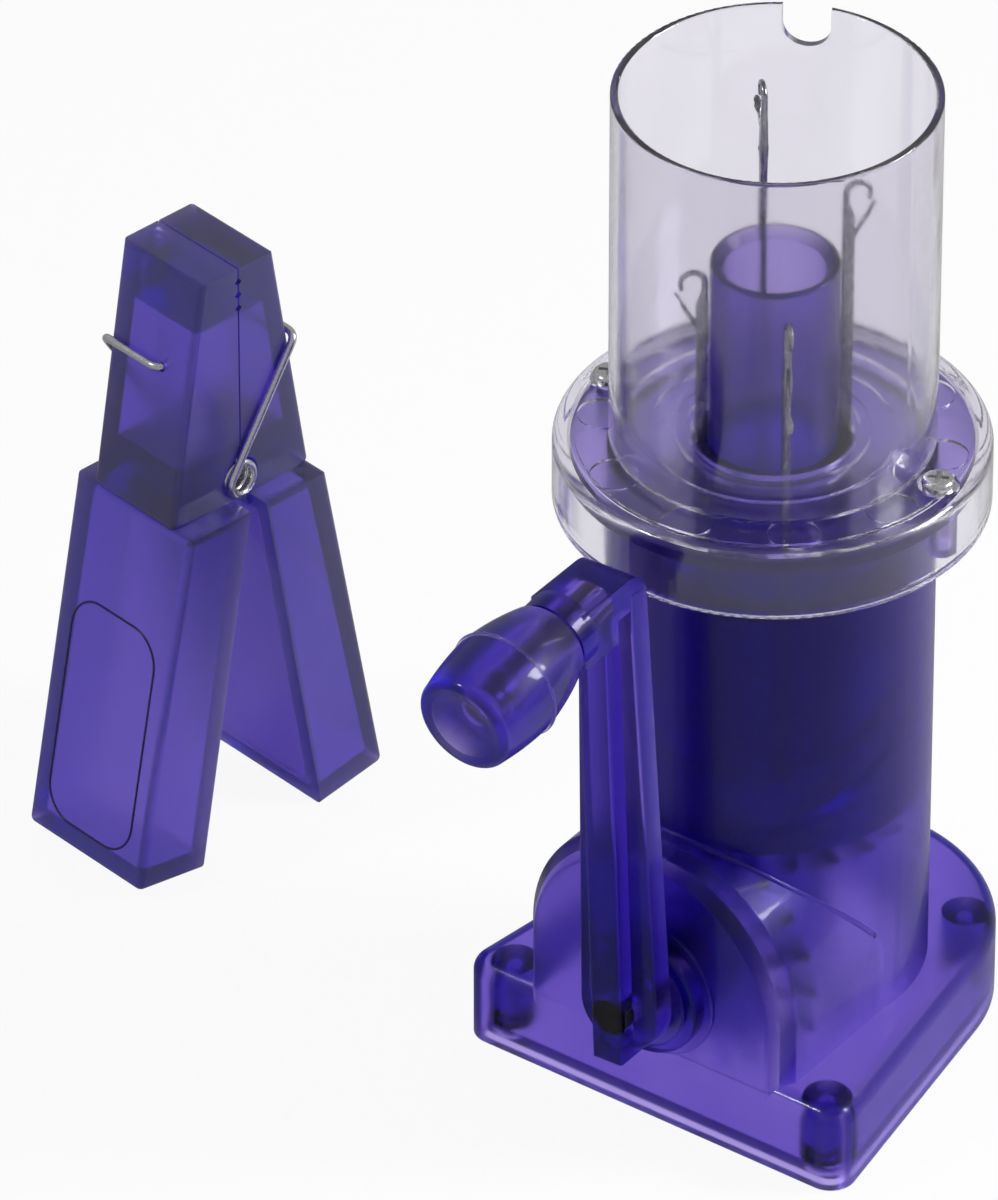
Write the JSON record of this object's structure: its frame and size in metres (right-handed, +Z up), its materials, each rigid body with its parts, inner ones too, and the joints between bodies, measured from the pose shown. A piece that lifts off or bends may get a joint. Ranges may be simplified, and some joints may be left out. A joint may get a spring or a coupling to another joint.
{
  "type": "hand-cranked cord knitting machine",
  "caption": "Hand-cranked cord knitting machine: latch needles lifted round a geared cylinder in a clear guard tube, with a sprung weight clip.",
  "frame": {"origin": "centre of the cord outlet, on the plane that the base rests on", "axes": "+Z up along the needle cylinder; -Y towards the crank; +X to the right seen from the crank"},
  "size_m": [0.154, 0.115, 0.1685],
  "materials": {
    "purple_plastic": "translucent glossy moulding",
    "clear_plastic": "clear glossy moulding",
    "zinc_steel": "zinc plated",
    "needle_steel": "polished steel"
  },
  "bodies": {
    "root": {"housing": "purple_plastic", "bottom_cover": "purple_plastic", "bottom_screws": "zinc_steel", "clear_cover": "clear_plastic", "cover_screws": "zinc_steel", "cover_washers": "zinc_steel", "cam_lower": "purple_plastic", "cam_upper": "purple_plastic", "shaft_bush": "purple_plastic", "crank_washer": "purple_plastic"},
    "crank": {"drive_gear": "purple_plastic", "gear_screw": "zinc_steel", "crank_shaft": "needle_steel", "crank_arm": "purple_plastic", "knob_spindle": "needle_steel"},
    "knob": {"knob": "purple_plastic"},
    "cylinder": {"needle_cylinder": "purple_plastic", "cylinder_gear": "purple_plastic"},
    "needle_1": {"needle_1": "needle_steel", "rivet_1": "needle_steel"},
    "latch_1": {"latch_1": "needle_steel"},
    "needle_2": {"needle_2": "needle_steel", "rivet_2": "needle_steel"},
    "latch_2": {"latch_2": "needle_steel"},
    "needle_3": {"needle_3": "needle_steel", "rivet_3": "needle_steel"},
    "latch_3": {"latch_3": "needle_steel"},
    "needle_4": {"needle_4": "needle_steel", "rivet_4": "needle_steel"},
    "latch_4": {"latch_4": "needle_steel"},
    "clip": {"clip_arm_back": "purple_plastic", "clip_plate_back": "purple_plastic", "clip_spring": "zinc_steel"},
    "clip_front": {"clip_arm_front": "purple_plastic", "clip_plate_front": "purple_plastic", "clip_spring_leg": "zinc_steel"}
  },
  "joints": [
    {"name": "crank_turn", "type": "hinge", "parent": "root", "child": "crank", "pos_m": [0, -0.034, 0.0248], "axis": [0, 1, 0], "continuous": true},
    {"name": "cylinder_turn", "type": "hinge", "parent": "root", "child": "cylinder", "pos_m": [0, 0, 0.06], "axis": [0, 0, 1], "continuous": true},
    {"name": "knob_spin", "type": "hinge", "parent": "crank", "child": "knob", "pos_m": [-0.00301, -0.0503, 0.09974], "axis": [0.0049, -0.9925, -0.1218], "continuous": true},
    {"name": "needle_1_lift", "type": "slide", "parent": "cylinder", "child": "needle_1", "axis": [0, 0, 1], "range_m": [-0.0028, 0.027]},
    {"name": "latch_1_swing", "type": "hinge", "parent": "needle_1", "child": "latch_1", "pos_m": [0.00777, -0.00777, 0.1252], "axis": [0.7071, 0.7071, 0], "range_deg": [-131, 0]},
    {"name": "needle_2_lift", "type": "slide", "parent": "cylinder", "child": "needle_2", "axis": [0, 0, 1], "range_m": [-0.0189, 0.0109]},
    {"name": "latch_2_swing", "type": "hinge", "parent": "needle_2", "child": "latch_2", "pos_m": [0.00777, 0.00777, 0.1413], "axis": [-0.7071, 0.7071, 0], "range_deg": [0, 131]},
    {"name": "needle_3_lift", "type": "slide", "parent": "cylinder", "child": "needle_3", "axis": [0, 0, 1], "range_m": [-0.0292, 0.0006]},
    {"name": "latch_3_swing", "type": "hinge", "parent": "needle_3", "child": "latch_3", "pos_m": [-0.00777, 0.00777, 0.1516], "axis": [-0.7071, -0.7071, 0], "range_deg": [-21, 110]},
    {"name": "needle_4_lift", "type": "slide", "parent": "cylinder", "child": "needle_4", "axis": [0, 0, 1], "range_m": [-0.0055, 0.0243]},
    {"name": "latch_4_swing", "type": "hinge", "parent": "needle_4", "child": "latch_4", "pos_m": [-0.00777, -0.00777, 0.1279], "axis": [0.7071, -0.7071, 0], "range_deg": [0, 131]},
    {"name": "clip_lift", "type": "slide", "parent": "root", "child": "clip", "axis": [0, 0, 1], "range_m": [0, 0.1]},
    {"name": "clip_squeeze", "type": "hinge", "parent": "clip", "child": "clip_front", "pos_m": [-0.102, -0.006, 0.066], "axis": [0.9816, -0.1908, 0], "range_deg": [0, 16], "stiffness_Nm_per_rad": 0.12, "springref_deg": -28.65}
  ],
  "couplings": [
    {"joint": "cylinder_turn", "follows": "crank_turn", "ratio": 1}
  ]
}
